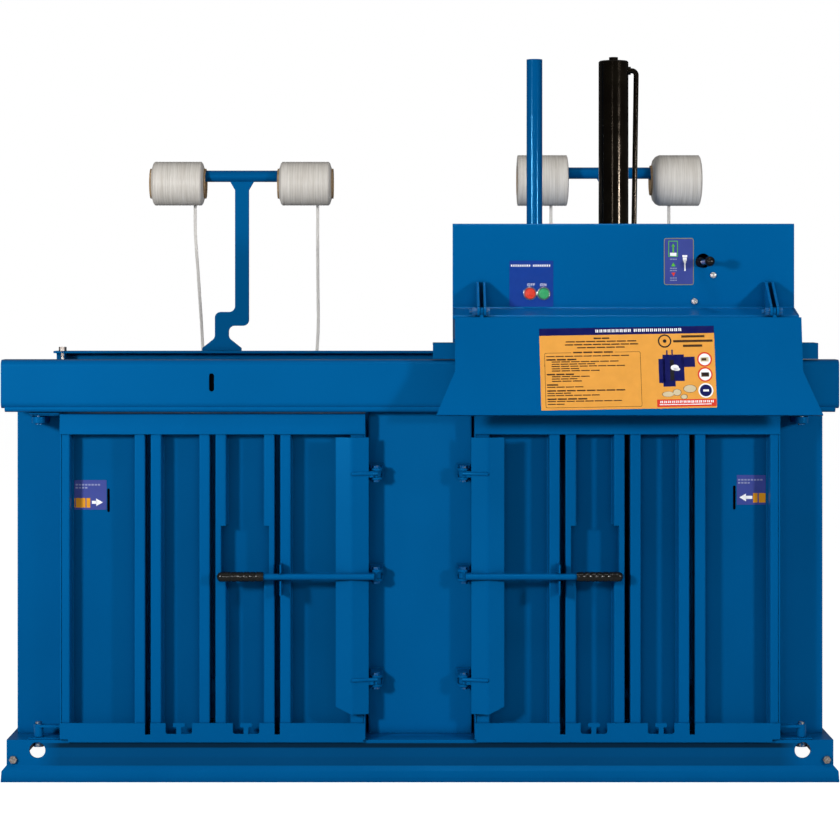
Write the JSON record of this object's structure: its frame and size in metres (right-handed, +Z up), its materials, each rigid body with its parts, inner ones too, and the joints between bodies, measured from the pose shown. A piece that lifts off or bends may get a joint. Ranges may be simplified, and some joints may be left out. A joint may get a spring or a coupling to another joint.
{
  "type": "recycling baler",
  "caption": "Recycling baler with two chambers side by side, ribbed front doors with clamp locks, and a press head that rolls on rails between them.",
  "frame": {"origin": "on the floor, under the middle of the whole machine without its straps", "axes": "+X to the right seen from the front, +Y to the back, +Z up"},
  "size_m": [2.096, 1.1363, 1.854],
  "materials": {
    "blue_paint": "satin",
    "painted_bolts": "satin",
    "plated_steel": "zinc plated",
    "turned_steel": "turned",
    "hard_chrome": "polished",
    "brass_bush": "turned",
    "bright_bezel": "polished",
    "black_gloss": "gloss",
    "black_grip": "moulded",
    "black_plastic": "moulded",
    "grey_casting": "cast",
    "red_button": "gloss",
    "green_button": "gloss",
    "cardboard": "spiral wound",
    "white_strap": "woven"
  },
  "bodies": {
    "root": {"base_frame": "blue_paint", "base_bolts": "painted_bolts", "chamber_floors": "blue_paint", "left_side_wall": "blue_paint", "right_side_wall": "blue_paint", "centre_post": "blue_paint", "rear_wall": "blue_paint", "front_rail": "blue_paint", "rear_rail": "blue_paint", "hinge_brackets": "blue_paint", "hinge_pins": "plated_steel", "lock_brackets": "blue_paint", "lock_bolts": "painted_bolts", "left_spool_post": "blue_paint", "right_spool_post": "blue_paint", "strap_far_left": "white_strap", "strap_near_left": "white_strap", "strap_near_right": "white_strap", "strap_far_right": "white_strap"},
    "left_door": {"left_door_frame": "blue_paint", "left_door_skin": "blue_paint"},
    "right_door": {"right_door_frame": "blue_paint", "right_door_skin": "blue_paint"},
    "left_lock": {"left_lock_plate": "blue_paint", "left_lever_grip": "black_grip"},
    "right_lock": {"right_lock_plate": "blue_paint", "right_lever_grip": "black_grip"},
    "head": {"head_housing": "blue_paint", "head_rear_cover": "blue_paint", "carriage_frame": "blue_paint", "roller_axles": "plated_steel", "flap_bolts": "painted_bolts", "cylinder_barrel": "black_gloss", "cylinder_pipe": "black_gloss", "guide_bush": "brass_bush", "button_bezels": "bright_bezel", "valve_collar": "black_plastic", "pump_motor": "grey_casting", "oil_tank": "black_gloss", "pack_shelf": "blue_paint"},
    "front_left_roller": {"front_left_roller": "turned_steel"},
    "front_right_roller": {"front_right_roller": "turned_steel"},
    "rear_left_roller": {"rear_left_roller": "turned_steel"},
    "rear_right_roller": {"rear_right_roller": "turned_steel"},
    "ram": {"ram_rod": "hard_chrome", "guide_tube": "blue_paint", "platen": "blue_paint"},
    "flap": {"flap": "blue_paint"},
    "off_button": {"off_button": "red_button"},
    "on_button": {"on_button": "green_button"},
    "valve_lever": {"valve_lever": "black_plastic"},
    "far_left_spool": {"far_left_core": "cardboard", "far_left_winding": "white_strap"},
    "near_left_spool": {"near_left_core": "cardboard", "near_left_winding": "white_strap"},
    "near_right_spool": {"near_right_core": "cardboard", "near_right_winding": "white_strap"},
    "far_right_spool": {"far_right_core": "cardboard", "far_right_winding": "white_strap"}
  },
  "joints": [
    {"name": "left_door_hinge", "type": "hinge", "parent": "root", "child": "left_door", "pos_m": [-0.958, -0.3865, 0.5], "axis": [0, 0, -1], "range_deg": [0, 135]},
    {"name": "left_lock_hinge", "type": "hinge", "parent": "root", "child": "left_lock", "pos_m": [-0.11, -0.4065, 0.516], "axis": [0, 0, 1], "range_deg": [0, 90]},
    {"name": "right_door_hinge", "type": "hinge", "parent": "root", "child": "right_door", "pos_m": [0.958, -0.3865, 0.5], "axis": [0, 0, 1], "range_deg": [0, 135]},
    {"name": "right_lock_hinge", "type": "hinge", "parent": "root", "child": "right_lock", "pos_m": [0.11, -0.4065, 0.516], "axis": [0, 0, -1], "range_deg": [0, 90]},
    {"name": "head_travel", "type": "slide", "parent": "root", "child": "head", "axis": [1, 0, 0], "range_m": [-1.034, 0]},
    {"name": "front_left_roller_spin", "type": "hinge", "parent": "head", "child": "front_left_roller", "pos_m": [0.136, -0.4055, 0.9913], "axis": [0, 1, 0], "range_deg": [-1200, 10]},
    {"name": "front_right_roller_spin", "type": "hinge", "parent": "head", "child": "front_right_roller", "pos_m": [0.888, -0.4055, 0.9913], "axis": [0, 1, 0], "range_deg": [-1200, 10]},
    {"name": "rear_left_roller_spin", "type": "hinge", "parent": "head", "child": "rear_left_roller", "pos_m": [0.136, 0.4485, 0.9913], "axis": [0, 1, 0], "range_deg": [-1200, 10]},
    {"name": "rear_right_roller_spin", "type": "hinge", "parent": "head", "child": "rear_right_roller", "pos_m": [0.888, 0.4485, 0.9913], "axis": [0, 1, 0], "range_deg": [-1200, 10]},
    {"name": "ram_stroke", "type": "slide", "parent": "head", "child": "ram", "axis": [0, 0, -1], "range_m": [0, 0.6]},
    {"name": "flap_hinge", "type": "hinge", "parent": "head", "child": "flap", "pos_m": [0.512, -0.5075, 1.178], "axis": [-1, 0, 0], "range_deg": [0, 100]},
    {"name": "off_button_press", "type": "slide", "parent": "head", "child": "off_button", "axis": [0, 1, 0], "range_m": [0, 0.004], "stiffness_N_per_m": 400, "springref_m": -0.002},
    {"name": "on_button_press", "type": "slide", "parent": "head", "child": "on_button", "axis": [0, 1, 0], "range_m": [0, 0.004], "stiffness_N_per_m": 400, "springref_m": -0.002},
    {"name": "valve_lever_tilt", "type": "hinge", "parent": "head", "child": "valve_lever", "pos_m": [0.708, -0.4205, 1.303], "axis": [1, 0, 0], "range_deg": [-20, 20], "stiffness_Nm_per_rad": 6},
    {"name": "far_left_spool_spin", "type": "hinge", "parent": "root", "child": "far_left_spool", "pos_m": [-0.695, 0.4905, 1.536], "axis": [1, 0, 0], "continuous": true},
    {"name": "near_left_spool_spin", "type": "hinge", "parent": "root", "child": "near_left_spool", "pos_m": [-0.329, 0.4905, 1.536], "axis": [1, 0, 0], "continuous": true},
    {"name": "near_right_spool_spin", "type": "hinge", "parent": "root", "child": "near_right_spool", "pos_m": [0.352, 0.4905, 1.545], "axis": [1, 0, 0], "continuous": true},
    {"name": "far_right_spool_spin", "type": "hinge", "parent": "root", "child": "far_right_spool", "pos_m": [0.734, 0.4905, 1.545], "axis": [1, 0, 0], "continuous": true}
  ],
  "couplings": [
    {"joint": "front_left_roller_spin", "follows": "head_travel", "rad_per_m": 20},
    {"joint": "front_right_roller_spin", "follows": "head_travel", "rad_per_m": 20},
    {"joint": "rear_left_roller_spin", "follows": "head_travel", "rad_per_m": 20},
    {"joint": "rear_right_roller_spin", "follows": "head_travel", "rad_per_m": 20}
  ]
}
